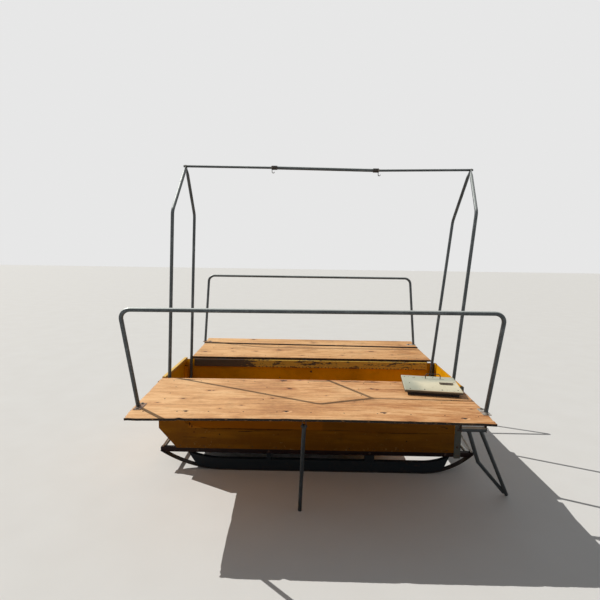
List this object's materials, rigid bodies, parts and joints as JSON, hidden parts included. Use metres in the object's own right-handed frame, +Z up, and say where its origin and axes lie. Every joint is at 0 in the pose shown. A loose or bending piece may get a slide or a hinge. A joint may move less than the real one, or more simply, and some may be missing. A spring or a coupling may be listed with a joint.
{
  "type": "snowmobile sled",
  "caption": "Box sled on ski runners with hinged side decks on folding legs, rail hoops and a gabled tubular tent frame.",
  "frame": {"origin": "on the ground, under the middle of the whole sled as it stands with its decks open", "axes": "+X along the sled to its rear, away from the tow tube, +Y across it to the far side, +Z up"},
  "size_m": [2.6158, 2.4568, 2.413],
  "materials": {
    "near_deck_wood": "weathered varnished plywood",
    "far_deck_wood": "weathered bare plywood",
    "cover_wood": "worn cream paint on plywood",
    "timber": "bare weathered timber",
    "yellow_paint": "scuffed amber yellow paint on plywood",
    "sill_paint": "faded red-brown paint on timber",
    "runner_paint": "worn dark blue-grey paint on steel",
    "shoe_steel": "bare steel worn bright below",
    "galvanised": "dull galvanised tube",
    "corner_steel": "grey painted steel",
    "fitting_steel": "dark worn steel"
  },
  "bodies": {
    "tub": {"near_side": "yellow_paint", "far_side": "yellow_paint", "front_wall": "yellow_paint", "front_rake": "yellow_paint", "rear_wall": "yellow_paint", "rear_posts": "corner_steel", "front_cleats": "timber", "near_rail": "timber", "far_rail": "timber", "floor_front": "yellow_paint", "floor_rear": "yellow_paint", "floor_strips": "yellow_paint", "near_sill": "sill_paint", "far_sill": "sill_paint", "cross_beams": "sill_paint", "near_runner": "runner_paint", "far_runner": "runner_paint", "near_shoe": "shoe_steel", "far_shoe": "shoe_steel", "runner_posts": "runner_paint", "tip_braces": "galvanised", "tow_tube": "galvanised", "rear_cross_tube": "galvanised", "front_mast_near": "galvanised", "front_mast_far": "galvanised", "rear_mast_near": "galvanised", "rear_mast_far": "galvanised", "mast_sockets": "timber", "ridge_front": "galvanised", "ridge_middle": "galvanised", "ridge_rear": "galvanised", "ridge_clamps": "fitting_steel", "ridge_hooks": "fitting_steel", "near_tub_leaves": "fitting_steel", "far_tub_leaves": "fitting_steel"},
    "near_wing": {"near_deck": "near_deck_wood", "near_battens": "timber", "near_hoop": "galvanised", "near_wing_leaves": "fitting_steel", "near_middle_bracket": "fitting_steel", "near_end_bracket": "fitting_steel", "hatch_cover": "cover_wood", "cover_battens": "timber", "cover_latch": "fitting_steel", "cover_handle": "fitting_steel"},
    "far_wing": {"far_deck_inner": "far_deck_wood", "far_deck_outer": "far_deck_wood", "far_battens": "timber", "far_hoop": "galvanised", "far_wing_leaves": "fitting_steel", "far_middle_bracket": "fitting_steel", "far_end_bracket": "fitting_steel"},
    "near_middle_leg": {"near_middle_leg": "galvanised"},
    "far_middle_leg": {"far_middle_leg": "galvanised"},
    "near_end_leg": {"near_end_leg": "galvanised"},
    "far_end_leg": {"far_end_leg": "galvanised"}
  },
  "joints": [
    {"name": "near_wing_hinge", "type": "hinge", "parent": "tub", "child": "near_wing", "pos_m": [-0.14292, -0.3516, 0.71], "axis": [-1, 0, 0], "range_deg": [0, 50]},
    {"name": "far_wing_hinge", "type": "hinge", "parent": "tub", "child": "far_wing", "pos_m": [-0.14292, 0.3844, 0.71], "axis": [1, 0, 0], "range_deg": [0, 45]},
    {"name": "near_middle_leg_pivot", "type": "hinge", "parent": "near_wing", "child": "near_middle_leg", "pos_m": [-0.17292, -1.1296, 0.676], "axis": [1, 0, 0], "range_deg": [0, 70]},
    {"name": "far_middle_leg_pivot", "type": "hinge", "parent": "far_wing", "child": "far_middle_leg", "pos_m": [-0.17292, 1.1624, 0.676], "axis": [-1, 0, 0], "range_deg": [0, 70]},
    {"name": "near_end_leg_pivot", "type": "hinge", "parent": "near_wing", "child": "near_end_leg", "pos_m": [0.84008, -1.1296, 0.676], "axis": [1, 0, 0], "range_deg": [0, 54]},
    {"name": "far_end_leg_pivot", "type": "hinge", "parent": "far_wing", "child": "far_end_leg", "pos_m": [0.84008, 1.1624, 0.676], "axis": [-1, 0, 0], "range_deg": [0, 54]}
  ]
}
